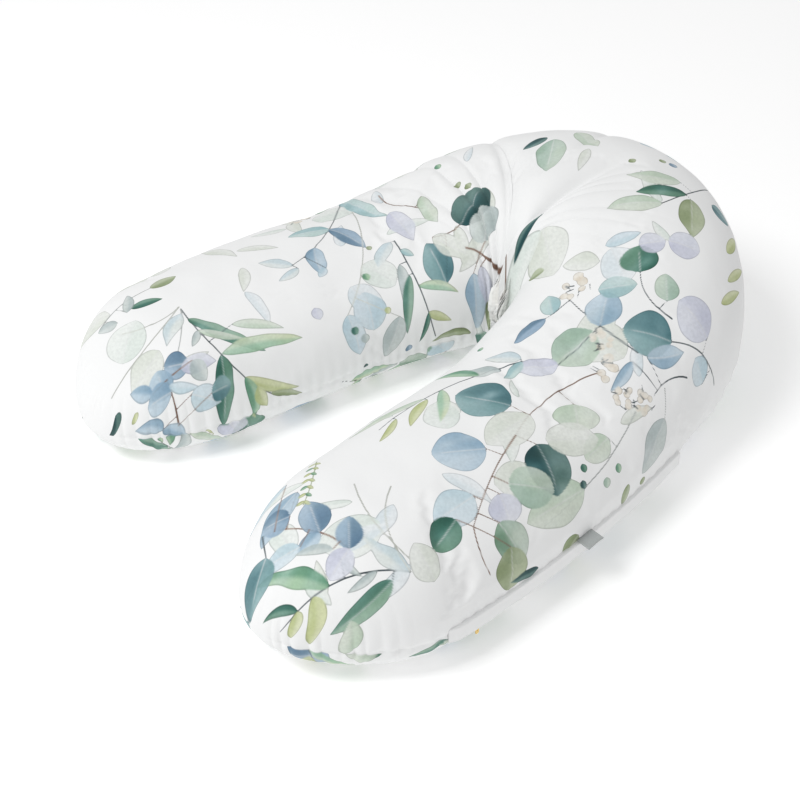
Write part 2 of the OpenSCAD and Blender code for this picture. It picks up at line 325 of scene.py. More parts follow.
def broad_folds(points, path, side):
    """How far the bend's crowding and the valley between its sides push each point inwards, in mm."""
    turn, r = heading(points)
    z = points[..., 2]
    seam = seam_height(path)[:, None]
    above = above_seam(points, path)
    along = points[..., 1] - BEND_AT[1]
    lateral = points[..., 0] - BEND_AT[0]

    # where the two sides of the bend meet
    depth = VALLEY_DEPTH * (1 - smooth((along - 70) / 190)) * smooth((along - 5) / 60)
    total = depth * crease(lateral, VALLEY_W) * smooth((z - seam + 60) / 80)

    # bunched folds on the left arm, beside the wedge
    beyond = (-turn - WEDGE_AT - WEDGE_SLANT * r / 300) * math.radians(1) * BEND_R
    bunch = window(beyond, 0, 150, 6, 70) * (0.3 + 0.7 * (1 - smooth((r - 130) / 120)))
    total += BUNCH_DEPTH * pleats(beyond + 0.06 * r, BUNCH_SPACING) * bunch * above

    # a fan of folds on the right side, from the crotch outwards
    fan = (turn - 0.09 * r) * math.radians(1) * FAN_R
    spread = window(turn, 2, 62, 5, 35) * window(r, 25, 240, 40, 110)
    total += FAN_DEPTH * pleats(fan, FAN_SPACING) * spread * above

    # the lower half of the right side of the bend is rolled under
    tuck = window(path[:, None], 40, 350, 70, 90) * smooth((seam + 6 - z) / 20)
    total += ROLLED_UNDER * tuck * (side == RIGHT)
    return total


def fine_folds(grid):
    """Creases, seam puckers and small unevenness, pushed inwards, in mm."""
    turn, r = heading(grid.points)
    z = grid.points[..., 2]
    seam = seam_height(grid.path)[:, None]
    above = above_seam(grid.points, grid.path)

    # the two creases on the far side, with a smooth wedge between them
    wedge_edge = (turn + WEDGE_AT + WEDGE_SLANT * r / 300) * np.radians(r)
    total = LONG_CREASE_DEPTH * crease(wedge_edge, LONG_CREASE_W) * above * window(r, 20, 330, 60, 60)
    short_edge = (turn + SHORT_CREASE_AT) * np.radians(r)
    total += SHORT_CREASE_DEPTH * crease(short_edge, SHORT_CREASE_W) * above * window(r, 150, 340, 60, 40)

    # puckers along the seams
    from_seam = np.abs(z - seam)
    along = grid.path[:, None]
    total += SEAM_GROOVE_DEPTH * crease(from_seam, SEAM_GROOVE_W)
    wave = np.sin(along * 2 * math.pi / PUCKER_SPACING + 2 * np.sin(along / 31))
    total += PUCKER_DEPTH * wave * crease(from_seam, PUCKER_W)

    # puckers that run in from the seam round each tip
    tip_path = np.array([HALF_LEN - TIP_PUCKER_R])
    onwards = across(turned(tip_path, grid.side), grid.side)[0]
    from_tip = grid.points[..., :2] - centreline(tip_path, grid.side)[0]
    round_tip = np.arctan2(from_tip @ onwards, from_tip @ to_left(onwards) * grid.side)
    off_centre = smooth((np.hypot(*np.moveaxis(from_tip, -1, 0)) - 50) / 60)
    strength = off_centre * crease(from_seam, TIP_PUCKER_W)
    puckers = TIP_PUCKER_DEPTH * pleats(round_tip * TIP_PUCKER_R, TIP_PUCKER_SPACING) * strength
    total += puckers * smooth((along - HALF_LEN + 160) / 80)
    total += unevenness(grid.points, seed=6, waves=9, wavelength=38, height=0.25)
    return total * smooth((HALF_LEN - along) / 12)


def pushed_in(grid, points, depth):
    moved = points - normals(points, grid.side) * depth[..., None]
    moved[..., 2] = np.maximum(moved[..., 2], 0)
    return moved


# ---------------------------------------------------------------- the cloth, simulated on a coarse tube
CUT_BEND_R = 190  # the cover is cut with a wider bend than it is held in, so its inner side is crowded
CUT_EASE = 0.05  # share of extra cloth at the tips and beside the seams
TRIAL_STEPS = (5.5, 8)  # between rings, in the bend and on the arms
TRIAL_TOP, TRIAL_UNDER = 84, 40  # columns over each panel
TRIAL_FRAMES = 20
TRIAL_PRESSURE = 4.0
HELD_EVERYWHERE = 0.04  # how firmly the cloth is pinned where nothing else holds it
HELD_ON_FLOOR = 0.5
CROTCH_HELD = 70  # the crotch is held where it is, within this distance of the bend's centre
VALLEY_HELD = 22  # and so is the valley from it up the bend, this far to each side
SWELLING_LEFT_OUT = 0.85  # this share of the broad swelling goes, so that mostly the wrinkles stay
FURTHEST = 16  # mm that a point may travel


def blurred(values, reach=5, passes=2):
    """values averaged over a few rings and columns; the columns go all the way round."""
    for _ in range(passes):
        padded = np.pad(values, ((reach, reach), (0, 0), (0, 0)), mode="edge")
        values = sum(padded[k : k + len(values)] for k in range(2 * reach + 1)) / (2 * reach + 1)
        values = sum(np.roll(values, k, 1) for k in range(-reach, reach + 1)) / (2 * reach + 1)
    return values


def cut_shape(grid):
    """The same grid with its bend opened a little, which sets how much cloth there is."""
    side, path = grid.side, grid.path
    level = ((grid.points[..., :2] - centreline(path, side)[:, None])
             * across(turned(path, side), side)[:, None]).sum(-1)
    outer = BEND_R + half_width(path, OUTER_EVEN_TO, TIP_OUTER_W)
    share = float((outer / (outer - BEND_R + CUT_BEND_R))[0])
    centre = BEND_AT + np.array([0, BEND_R - CUT_BEND_R])
    angle = np.minimum(path, BEND_LEN[side]) / BEND_R * share
    middle = centre + CUT_BEND_R * across(angle, side)
    beyond = np.maximum(path - BEND_LEN[side], 0)
    arm_angle = angle + beyond / ARM_R[side]
    arm_middle = middle + ARM_R[side] * (across(arm_angle, side) - across(angle, side))
    at = arm_middle[:, None] + level[..., None] * across(arm_angle, side)[:, None]
    return np.concatenate([at, grid.points[..., 2:]], -1)


def both_sides(right, left):
    """One array of rings from the left tip, through the middle, to the right tip."""
    return np.concatenate([left[::-1], right[1:]])


def trial_mesh(points):
    rings, columns = points.shape[:2]
    ring, column = np.meshgrid(np.arange(rings - 1), np.arange(columns), indexing="ij")
    a = ring * columns + column
    b = ring * columns + (column + 1) % columns
    faces = np.stack([a, b, b + columns, a + columns], -1).reshape(-1, 4).tolist()
    ends = (0, (rings - 1) * columns)
    for k, first in enumerate(ends):
        hub = rings * columns + k
        for i in range(columns):
            rim = [first + i, first + (i + 1) % columns]
            faces.append([hub, *(reversed(rim) if k == 0 else rim)])
    vertices = np.concatenate([points.reshape(-1, 3), [points[0].mean(0)], [points[-1].mean(0)]])
    return vertices, faces


def weight_group(piece, name, weights):
    group = piece.vertex_groups.new(name=name)
    for level in np.unique(np.round(weights, 2)):
        chosen = np.flatnonzero(np.abs(np.round(weights, 2) - level) < 1e-6).tolist()
        group.add(chosen, float(level), "REPLACE")


def eased(height, signed):
    """Where there is extra cloth, from 0 to 1."""
    near_seam = crease(height - seam_height(np.abs(signed))[:, None], 25)
    at_tip = smooth((np.abs(signed)[:, None] - HALF_LEN + 190) / 120)
    return np.clip(0.35 + 0.4 * near_seam + 0.65 * at_tip, 0, 1)


def pinned(points, signed, angle):
    """How firmly each point is held. The crotch, the valley and the cloth beside the zip stay put."""
    height = points[..., 2]
    from_bend = points[..., :2] - BEND_AT
    plan_r = np.hypot(from_bend[..., 0], from_bend[..., 1])
    off_crotch = smooth((plan_r - CROTCH_HELD) / 50)
    held = HELD_EVERYWHERE + (1 - HELD_EVERYWHERE) * (1 - off_crotch) + HELD_ON_FLOOR * (height < 1)
    from_valley = np.maximum(np.abs(from_bend[..., 0]) - VALLEY_HELD, 0)
    in_valley = crease(from_valley, 12) * smooth((200 - plan_r) / 60)
    beside_zip = window(signed[:, None], ZIP_FROM - 45, ZIP_TO + 60, 30, 30)
    beside_zip = beside_zip * smooth((40 - np.abs(height - SEAM_H)) / 20)
    outer_side = np.cos(angle) > 0
    return np.clip(np.maximum(held, np.maximum(beside_zip * outer_side, in_valley)), 0, 1)


def settle(trial):
    """Runs the simulation and returns where the vertices end up, in mm."""
    scene = bpy.context.scene
    scene.frame_start, scene.frame_end = 1, TRIAL_FRAMES
    for frame in range(1, TRIAL_FRAMES + 1):
        scene.frame_set(frame)
    settled = trial.evaluated_get(bpy.context.evaluated_depsgraph_get()).to_mesh()
    moved = np.zeros(len(settled.vertices) * 3)
    settled.vertices.foreach_get("co", moved)
    bpy.data.objects.remove(trial)
    scene.frame_set(1)
    return moved.reshape(-1, 3) / MM


def cloth_travel():
    """How far each point of a coarse tube moves when its cloth settles under pressure."""
    grids = {side: Grid(side, *TRIAL_STEPS, TRIAL_TOP, TRIAL_UNDER) for side in (RIGHT, LEFT)}
    start = {s: pushed_in(g, g.points, broad_folds(g.points, g.path, s)) for s, g in grids.items()}
    signed = both_sides(grids[RIGHT].path, -grids[LEFT].path)
    points = both_sides(start[RIGHT], start[LEFT])
    start_off = unevenness(points, seed=9, waves=9, wavelength=60, height=0.8)
    points = points + start_off[..., None] * np.array([0.3, 0.3, 1.0])
    cut = both_sides(cut_shape(grids[RIGHT]), cut_shape(grids[LEFT]))
    vertices, faces = trial_mesh(points)
    trial = mesh_object("cloth_trial", vertices, faces, None)
    trial.shape_key_add(name="held")
    key = trial.shape_key_add(name="cut")
    key.data.foreach_set("co", (trial_mesh(cut)[0] * MM).ravel())

    ease = eased(points[..., 2], signed)
    held = pinned(points, signed, both_sides(grids[RIGHT].angle, grids[LEFT].angle))
    weight_group(trial, "ease", np.append(ease.ravel(), [1, 1]))
    weight_group(trial, "held", np.append(held.ravel(), [0.1, 0.1]))

    cloth = trial.modifiers.new("cloth", "CLOTH")
    settings = cloth.settings
    settings.quality = 6
    settings.mass = 0.25
    settings.tension_stiffness = 20
    settings.compression_stiffness = 20
    settings.shear_stiffness = 4
    settings.bending_stiffness = 0.4
    settings.air_damping = 2
    settings.rest_shape_key = key
    settings.vertex_group_shrink = "ease"
    settings.shrink_max = -CUT_EASE
    settings.vertex_group_mass = "held"
    settings.pin_stiffness = 1.0
    settings.use_pressure = True
    settings.uniform_pressure_force = TRIAL_PRESSURE
    settings.effector_weights.gravity = 0
    cloth.collision_settings.use_collision = False

    rings, columns = points.shape[:2]
    travel = settle(trial)[: rings * columns].reshape(points.shape) - points
    travel -= SWELLING_LEFT_OUT * blurred(travel)
    travel *= smooth((HALF_LEN - np.abs(signed)) / 12)[:, None, None]
    far = np.linalg.norm(travel, axis=2, keepdims=True)
    travel *= np.minimum(1, FURTHEST / np.maximum(far, 1e-6))
    return signed, travel


def cubic(values, place, wrap):
    """Catmull-Rom interpolation of values, an array whose first axis is sampled at 0, 1, 2..."""
    last = len(values)
    base = np.floor(place).astype(int)
    t = (place - base).reshape(-1, *[1] * (values.ndim - 1))
    picks = [(base + k) % last if wrap else np.clip(base + k, 0, last - 1) for k in (-1, 0, 1, 2)]
    a, b, c, d = (values[pick] for pick in picks)
    return b + 0.5 * t * (c - a + t * (2 * a - 5 * b + 4 * c - d + t * (3 * (b - c) + d - a)))


def on_grid(grid, signed, travel):
    """The coarse tube's travel, at each point of a finer grid."""
    ring = np.interp(grid.side * grid.path, signed, np.arange(len(signed)))
    over = np.minimum(grid.round, 1) * TRIAL_TOP
    under = np.maximum(grid.round - 1, 0) * TRIAL_UNDER
    by_ring = cubic(travel, ring, wrap=False)
    return cubic(by_ring.swapaxes(0, 1), over + under, wrap=True).swapaxes(0, 1)


SETTLED = cloth_travel()


def folded(grid):
    """The grid's points with the folds and wrinkles in, resting on z = 0."""
    points = pushed_in(grid, grid.points, broad_folds(grid.points, grid.path, grid.side))
    if SETTLED:
        points = points + on_grid(grid, *SETTLED)
    points = pushed_in(grid, points, fine_folds(grid))
    points[..., 2] = np.maximum(points[..., 2], 0)
    return points


# ---------------------------------------------------------------- the watercolour print
# Inks are what the cloth's white is multiplied by: the darker side of a leaf, then the lighter side.
TEAL = ((0.30, 0.46, 0.49), (0.55, 0.69, 0.70))
DEEP = ((0.13, 0.27, 0.28), (0.42, 0.54, 0.52))
FOREST = ((0.20, 0.38, 0.33), (0.44, 0.60, 0.52))
SAGE = ((0.42, 0.56, 0.46), (0.80, 0.85, 0.80))
GREEN = ((0.38, 0.58, 0.47), (0.70, 0.82, 0.70))
WILLOW = ((0.30, 0.48, 0.42), (0.62, 0.74, 0.66))
GREEN_TIP = ((0.62, 0.78, 0.66), (0.86, 0.90, 0.78))
OLIVE = ((0.55, 0.61, 0.45), (0.74, 0.78, 0.66))
YELLOW = ((0.74, 0.78, 0.54), (0.87, 0.89, 0.72))
MINT = ((0.64, 0.75, 0.68), (0.81, 0.87, 0.81))
PALE_GREEN = ((0.78, 0.85, 0.77), (0.88, 0.91, 0.86))
TEAL_PALE = ((0.62, 0.76, 0.78), (0.80, 0.88, 0.87))
BLUE = ((0.56, 0.68, 0.77), (0.79, 0.86, 0.91))
SLATE = ((0.38, 0.50, 0.60), (0.66, 0.75, 0.83))
ICE = ((0.77, 0.86, 0.90), (0.87, 0.92, 0.95))
LAVENDER = ((0.82, 0.83, 0.90), (0.90, 0.91, 0.95))
GREY_LEAF = ((0.72, 0.77, 0.77), (0.85, 0.88, 0.87))
OUTLINE = ((0.80, 0.87, 0.90), (0.92, 0.94, 0.93))
GHOST = ((0.89, 0.91, 0.87), (0.94, 0.95, 0.93))
FAINT_GREEN = ((0.90, 0.935, 0.91), (0.955, 0.97, 0.955))
FAINT_BLUE = ((0.89, 0.93, 0.95), (0.955, 0.97, 0.98))
PEACH = ((0.93, 0.89, 0.83), (0.96, 0.94, 0.90))
TWIG_BROWN = (0.56, 0.44, 0.38)
TWIG_DARK = (0.36, 0.40, 0.42)
TWIG_GREY = (0.76, 0.78, 0.77)
TWIG_PALE = (0.87, 0.88, 0.85)
FERN_STEM = (0.72, 0.78, 0.62)

# Each spray: its twig's colour, start, end and bow to the left, then its leaves. Each leaf: where along the
# twig, how far off it to the left, degrees from the twig's heading, length, width and inks.
SPRAYS = [
    (TWIG_GREY, (260, 80), (335, -95), 8, [
        (0.3, -15, -10, 45, 35, PALE_GREEN),
        (0.6, 0, -15, 90, 50, PALE_GREEN),
    ]),
    (TWIG_BROWN, (200, 70), (225, -70), -17, [
        (0.7, -25, -75, 65, 65, TEAL),
        (0.4, 25, 55, 35, 55, PALE_GREEN),
        (1, 25, 50, 65, 55, DEEP),
        (0.75, 0, -15, 70, 50, GHOST),
    ]),
    (TWIG_BROWN, (225, -70), (305, -180), -5, [
        (0.3, -20, -55, 60, 60, BLUE),
        (0.7, -10, -30, 55, 45, ICE),
        (0.5, 20, 115, 55, 50, MINT),
        (0.6, 15, 45, 35, 40, LAVENDER),
        (0.9, 25, 65, 55, 45, SAGE),
        (1, -20, -15, 45, 35, FOREST),
        (1, 50, 40, 50, 45, OLIVE),
    ]),
    (TWIG_BROWN, (305, -180), (360, -180), -5, []),
    (TWIG_GREY, (255, 135), (285, 125), 0, [
        (1, 0, -30, 65, 40, GREY_LEAF),
    ]),
    (TWIG_DARK, (290, 235), (215, 165), -8, [
        (1, 0, -15, 60, 55, TEAL),
        (0.5, -20, -25, 55, 55, LAVENDER),
        (0.3, 20, -15, 35, 30, ICE),
    ]),
    (TWIG_DARK, (195, 180), (125, 185), 12, [
        (1, 0, 0, 35, 45, FOREST),
        (0.25, -15, -45, 35, 30, MINT),
    ]),
    (TWIG_DARK, (205, 120), (95, 105), 6, [
        (0.5, 0, -55, 45, 45, BLUE),
        (0.95, 25, -25, 30, 25, TEAL_PALE),
        (0.5, 10, 90, 60, 55, MINT),
        (0.45, 70, 45, 50, 30, LAVENDER),
        (1, 35, 95, 45, 20, SLATE),
    ]),
    (TWIG_DARK, (260, 175), (255, 115), -8, [
        (0.7, -35, 155, 55, 25, BLUE),
        (0.9, -45, 0, 45, 15, BLUE),
    ]),
    (TWIG_DARK, (40, 380), (60, 270), 6, [
        (1, 0, -25, 70, 25, PALE_GREEN),
        (0.5, -20, -45, 70, 25, PALE_GREEN),
        (0.6, 0, -35, 65, 20, FOREST),
        (0.65, 10, 45, 65, 35, OLIVE),
    ]),
    (TWIG_DARK, (130, 10), (125, -185), -23, [
        (0, -5, -30, 45, 20, OUTLINE),
        (0.15, 5, -30, 50, 20, GREY_LEAF),
        (0.3, 0, -45, 60, 15, GREEN),
        (0.45, 0, 60, 70, 15, GREEN_TIP),
        (0.65, 5, 30, 60, 15, YELLOW),
        (0.85, 5, 20, 50, 10, YELLOW),
        (0.65, 0, -10, 105, 15, PALE_GREEN),
        (0, 0, 40, 35, 15, TEAL_PALE),
    ]),
    (TWIG_DARK, (320, -270), (275, -395), -10, [
        (0.6, 0, -35, 80, 20, GREEN),
        (0.1, 10, 40, 70, 25, WILLOW),
        (0.85, 0, -40, 40, 8, FOREST),
        (0.7, 0, 85, 45, 20, YELLOW),
        (0.9, 0, 65, 20, 15, YELLOW),
        (0.3, 0, 25, 35, 10, GREY_LEAF),
        (0.5, -20, 125, 30, 8, GREY_LEAF),
        (0, 0, -35, 60, 20, OUTLINE),
    ]),
    (TWIG_BROWN, (265, -310), (180, -365), -10, [
        (0, 0, -45, 40, 28, SLATE),
        (0, 0, 100, 35, 30, LAVENDER),
        (0.35, 0, 75, 30, 20, BLUE),
        (0.35, 0, -40, 45, 35, SLATE),
        (0.75, -50, 70, 70, 30, BLUE),
        (0.8, -15, 15, 30, 35, SLATE),
        (0.9, -75, 55, 65, 15, ICE),
        (0.45, 20, 40, 40, 25, ICE),
        (0.1, 10, 40, 40, 12, GREY_LEAF),
    ]),
    (TWIG_DARK, (180, -365), (205, -375), 0, [
        (1, 0, -35, 40, 32, TEAL),
    ]),
    (TWIG_PALE, (195, -260), (340, -250), -17, [
        (1, 0, 155, 45, 35, GHOST),
    ]),
    (TWIG_PALE, (220, -230), (320, -270), -15, []),
    (TWIG_DARK, (-190, -270), (-35, -205), -24, [
        (0.1, 0, 45, 105, 20, WILLOW),
        (0.4, 40, 45, 65, 15, PALE_GREEN),
        (0.25, 0, 45, 55, 12, PALE_GREEN),
        (0.5, 0, 55, 110, 20, GREEN_TIP),
        (0.8, 0, 20, 80, 15, YELLOW),
        (1, 0, 15, 50, 10, OLIVE),
        (0.45, 0, -20, 90, 25, FOREST),
        (0.7, 0, -20, 65, 15, GREEN),
        (0.9, 0, -25, 35, 15, YELLOW),
        (0.25, 0, -55, 25, 10, GREY_LEAF),
    ]),
    (TWIG_GREY, (-190, -270), (-130, -305), 3, [
        (0.1, 0, -25, 55, 20, OUTLINE),
    ]),
    (TWIG_BROWN, (-55, -320), (-110, -330), 2, [
        (1, -30, 65, 30, 30, SLATE),
        (1, -20, -110, 45, 22, LAVENDER),
        (0.95, -35, -165, 30, 20, GREY_LEAF),
        (0.75, 10, -10, 30, 30, BLUE),
        (1, 20, 45, 30, 15, BLUE),
        (0.7, 0, 70, 30, 28, BLUE),
        (0.9, 0, -125, 40, 12, ICE),
        (0.4, -20, -140, 45, 28, ICE),
        (0.3, 15, 35, 45, 12, BLUE),
        (0.3, 15, -150, 45, 12, BLUE),
        (0, -40, -110, 25, 28, TEAL),
    ]),
    (TWIG_GREY, (-235, -360), (-255, -280), 6, [
        (1, 0, 10, 40, 20, OLIVE),
        (0.5, -20, -25, 40, 15, FOREST),
        (0.35, -20, 45, 40, 15, GREY_LEAF),
        (0.1, -20, 130, 25, 20, GREY_LEAF),
    ]),
    (TWIG_PALE, (-195, -270), (-145, -390), 9, []),
    (TWIG_PALE, (-195, -270), (-200, -345), 12, []),
    (TWIG_DARK, (-310, 30), (-195, -110), 18, [
        (0.45, 0, -60, 55, 25, TEAL_PALE),
        (0.5, 0, 70, 65, 25, SLATE),
        (0.8, 0, 45, 55, 25, BLUE),
        (0.9, 35, 15, 20, 12, ICE),
        (1, 0, -60, 45, 20, OUTLINE),
        (1, 10, -5, 35, 15, OUTLINE),
        (0, 0, 40, 100, 25, TEAL_PALE),
    ]),
    (TWIG_BROWN, (-265, 65), (-185, 85), -12, [
        (0.85, 20, -45, 60, 20, PALE_GREEN),
    ]),
    (TWIG_BROWN, (-135, 65), (-135, 120), -12, [
        (0.2, -60, 115, 60, 38, TEAL),
        (0.6, 0, 20, 55, 50, DEEP),
        (0, 0, -25, 60, 25, GHOST),
    ]),
    (TWIG_BROWN, (-95, 90), (-30, 105), 12, [
        (0.3, 10, 125, 40, 35, GREY_LEAF),
        (0.2, -20, -50, 40, 25, BLUE),
        (0.4, -10, -20, 25, 15, LAVENDER),
    ]),
    (TWIG_DARK, (-165, 25), (-15, 20), -5, [
        (0, -5, -45, 45, 20, OUTLINE),
        (0.2, -10, -15, 55, 15, GREY_LEAF),
        (0.4, -5, -20, 75, 15, WILLOW),
        (0.5, 0, 55, 55, 12, GREEN_TIP),
        (0.7, 0, 50, 35, 12, YELLOW),
        (0.7, 0, -30, 40, 8, FOREST),
        (0.1, 0, 40, 20, 10, TEAL_PALE),
    ]),
    (TWIG_PALE, (-260, 20), (-95, -85), 15, [
        (0.95, 40, -140, 50, 45, ICE),
        (0.85, 65, 10, 55, 30, GREY_LEAF),
        (1, 0, 50, 55, 30, ICE),
    ]),
]

# Leaves without a twig: x, y, heading in degrees, length, width and inks
LONE_LEAVES = [
    (365, -40, -45, 28, 32, OLIVE),
    (382, -105, -90, 45, 13, DEEP),
    (330, 47, -10, 25, 15, OLIVE),
    (-155, 260, -90, 40, 18, DEEP),
    (-140, 260, -45, 90, 38, MINT),
    (-140, 298, -15, 65, 27, PALE_GREEN),
    (-25, 112, 95, 40, 10, DEEP),
    (110, 135, 55, 45, 32, TEAL_PALE),
    (68, 177, 70, 45, 18, ICE),
    (75, 350, 30, 32, 30, TEAL),
    (145, 320, 115, 65, 15, YELLOW),
    (180, 295, 105, 75, 12, YELLOW),
    (203, 265, 100, 65, 13, YELLOW),
    (245, -43, 70, 65, 45, GHOST),
    (110, 240, 45, 40, 40, LAVENDER),
    (95, 207, 65, 32, 30, LAVENDER),
    (8, 109, 35, 20, 12, OLIVE),
    (80, 160, -140, 45, 24, GHOST),
    (-80, 268, -55, 50, 14, GHOST),
    (-23, 70, -75, 60, 8, OLIVE),
    (367, -342, 175, 40, 22, PALE_GREEN),
    (-212, 50, -5, 65, 30, LAVENDER),
    (-38, 367, 35, 24, 14, TEAL_PALE),
    (-73, 350, 25, 25, 15, ICE),
    (2276, -388, 30, 54, 30, SLATE),
    (2345, -324, 0, 60, 26, FOREST),
    (2398, -261, -20, 55, 36, GREY_LEAF),
]

# Small round berries: x, y, radius and inks
BERRIES = [
    (292, -18, 5, FOREST),
    (309, -26, 5, DEEP),
    (307, 33, 5.5, GREEN),
    (317, 10, 6, MINT),
    (340, 82, 5, OLIVE),
    (62, -3, 4, GREEN),
    (-134, -37, 5.5, GREEN),
    (-175, -7, 4, OLIVE),
    (-82, -32, 4.5, YELLOW),
    (-73, -83, 5.5, FOREST),
    (-59, -72, 6, GREY_LEAF),
    (-19, -75, 3.5, DEEP),
    (-18, -16, 5, SLATE),
    (-182, 135, 5, OLIVE),
    (-165, 140, 5, OLIVE),
    (-238, 143, 5, GREEN),
    (-42, 98, 5, OLIVE),
    (-110, -122, 8, LAVENDER),
    (-29, 298, 5, OLIVE),
    (-11, 334, 5, OLIVE),
    (0, 343, 6, SLATE),
    (-107, -373, 4, YELLOW),
    (-125, -393, 6, DEEP),
]

# Pale flower heads: x, y and radius
BLOSSOMS = [
    (200, 80, 14),
    (240, 75, 12),
    (255, 97, 13),
    (80, 122, 15),
    (-304, -39, 14),
    (165, 95, 12),
]
FERN_FROM = (120, -265)
FERN_TO = (185, -317)
FERN_PAIRS = 7


def on_heading(degrees):
    return np.array([math.cos(math.radians(degrees)), math.sin(math.radians(degrees))])


INK_STRENGTH = 1.9  # the inks are given as they look on a screen, and this makes them shares of light
WASH_WANDER = 0.4  # share by which a wash's strength wanders
EDGE_WANDER = 1.6  # mm by which a wide leaf's edge wanders
INK_FADE = 1.6  # mm over which one ink gives way to the one that is laid over it
TWIG_W = 1.9
SIDE_TWIG_W = 1.4
FERN_STEM_W = 1.8


class Print:
    """Ink on points of the flat cloth: its colour, and how many mm inside a motif's edge each point is."""

    REACH = 4.0  # the ink's colour is known this far outside each motif, so that its edge stays sharp

    def __init__(self, plane):
        self.plane = plane.reshape(-1, 2)
        self.ink = np.ones((len(self.plane), 3))
        self.edge = np.full(len(self.plane), -self.REACH)
        level = np.pad(self.plane, ((0, 0), (0, 1)))
        # how the washes' strength and the leaves' edges wander
        self.tone = unevenness(level, seed=21, waves=8, wavelength=26, height=0.5)

    def near(self, low, high):
        inside = (self.plane > low - self.REACH) & (self.plane < high + self.REACH)
        return np.flatnonzero(inside.all(1))

    def stamp(self, chosen, inside_by, colour):
        """Lays transparent ink over what is there. inside_by is mm inside the motif's edge."""
        before = self.edge[chosen]
        under = self.ink[chosen]
        colour = colour ** (INK_STRENGTH * (1 + WASH_WANDER * self.tone[chosen, None]))
        over = colour * (0.8 + 0.2 * under)
        cover = smooth(inside_by / INK_FADE + 0.5)[:, None]
        on_ink = under + (over - under) * cover
        on_cloth = np.where((inside_by > before)[:, None], colour, under)
        self.ink[chosen] = np.where((before > 0)[:, None], on_ink, on_cloth)
        self.edge[chosen] = np.maximum(before, inside_by)

    def leaf(self, base, heading, length, width, inks, bow=0.0):
        """A leaf from its base. Narrow leaves are pointed and wide ones round."""
        direction = on_heading(heading)
        side = to_left(direction)
        base = np.asarray(base, float)
        tip = base + length * direction
        reach = width / 2 + abs(bow)
        chosen = self.near(np.minimum(base, tip) - reach, np.maximum(base, tip) + reach)
        if not len(chosen):
            return
        from_base = self.plane[chosen] - base
        along = from_base @ direction / length
        off = from_base @ side
        share = np.clip(along, 0, 1)
        slim = np.clip(1.3 - width / length, 0.0, 1.0)
        skewed = share ** (1 - 0.25 * slim)  # narrow leaves are widest nearer the base
        fullness = (4 * skewed * (1 - skewed)) ** (0.5 + 0.45 * slim)
        off = off - bow * 4 * share * (1 - share) * length / 50
        past = np.maximum(np.abs(along - 0.5) - 0.5, 0) * length
        inside_by = np.where(past > 0, -np.hypot(past, off), (width / 2 * fullness - np.abs(off)) * 0.9)
        inside_by = inside_by + EDGE_WANDER * self.tone[chosen] * (width > 16)
        dark, light = np.array(inks[0]), np.array(inks[1])
        lit = smooth(off / (0.35 * width) + 0.5) * 0.75 + 0.5 * (share - 0.25) + 0.35 * self.tone[chosen]
        lit = np.clip(lit, 0, 1)[:, None]
        colour = dark + (light - dark) * lit
        vein = np.exp(-((off / 0.9) ** 2)) * smooth((0.92 - share) / 0.2) * (width > 24)
        colour = colour + (0.92 - colour) * 0.5 * vein[:, None]
        self.stamp(chosen, inside_by, colour)

    def line(self, points, thickness, colour):
        """A twig through the points, thicker at its start."""
        points = np.asarray(points, float)
        chosen = self.near(points.min(0), points.max(0))
        if not len(chosen):
            return
        nearest = np.full(len(chosen), 1e9)
        share = np.zeros(len(chosen))
        for i, (a, b) in enumerate(zip(points[:-1], points[1:])):
            step = b - a
            t = np.clip((self.plane[chosen] - a) @ step / (step @ step), 0, 1)
            gap = np.linalg.norm(self.plane[chosen] - a - t[:, None] * step, axis=1)
            closer = gap < nearest
            nearest = np.where(closer, gap, nearest)
            share = np.where(closer, (i + t) / (len(points) - 1), share)
        half = thickness / 2 * (1 - 0.25 * share)
        self.stamp(chosen, half - nearest, np.tile(np.array(colour), (len(chosen), 1)))

    def twig(self, start, end, bow, thickness, colour):
        start, end = np.asarray(start, float), np.asarray(end, float)
        share = np.linspace(0, 1, 9)[:, None]
        side = to_left((end - start) / np.linalg.norm(end - start))
        points = start + (end - start) * share + side * bow * 4 * share * (1 - share)
        self.line(points, thickness, colour)
        return points

    def spray(self, colour, start, end, bow, leaves):
        points = self.twig(start, end, bow, TWIG_W, colour)
        for k, (where, off, degrees, length, width, inks) in enumerate(leaves):
            i = min(int(where * 8), 7)
            tangent = points[i + 1] - points[i]
            heading = math.degrees(math.atan2(tangent[1], tangent[0]))
            on_twig = points[round(where * 8)]
            base = on_twig + off * to_left(tangent / np.linalg.norm(tangent))
            if off:
                self.twig(on_twig, base, 0, SIDE_TWIG_W, colour)
            curl = (1 if k % 2 else -1) * (2.5 if width < 0.5 * length else 0)
            self.leaf(base, heading + degrees, length, width, inks, curl)

    def blossom(self, x, y, radius, seed):
        rng = np.random.RandomState(seed)
        for turn in range(7):
            outwards = on_heading(turn * 51 + rng.uniform(-15, 15))
            at = np.array([x, y]) + outwards * radius * rng.uniform(0.4, 1.1)
            size = radius * rng.uniform(0.6, 0.9)
            self.leaf(at, rng.uniform(0, 360), size, size, PEACH)
        for _ in range(5):
            start = np.array([x, y]) + rng.uniform(-1, 1, 2) * radius
            end = start + on_heading(rng.uniform(0, 360)) * radius * 0.6
            self.line([start, end], 1.6, TWIG_DARK)

    def fern(self, start, end):
        points = self.twig(start, end, 4, FERN_STEM_W, FERN_STEM)
        along = points[-1] - points[0]
        heading = math.degrees(math.atan2(along[1], along[0]))
        for k in range(FERN_PAIRS):
            at = points[0] + along * (k + 0.5) / FERN_PAIRS
            for side in (1, -1):
                inks = YELLOW if (k + side) % 3 else GREEN
                self.leaf(at, heading + side * 50, 10, 5, inks)  # degrees, length and width


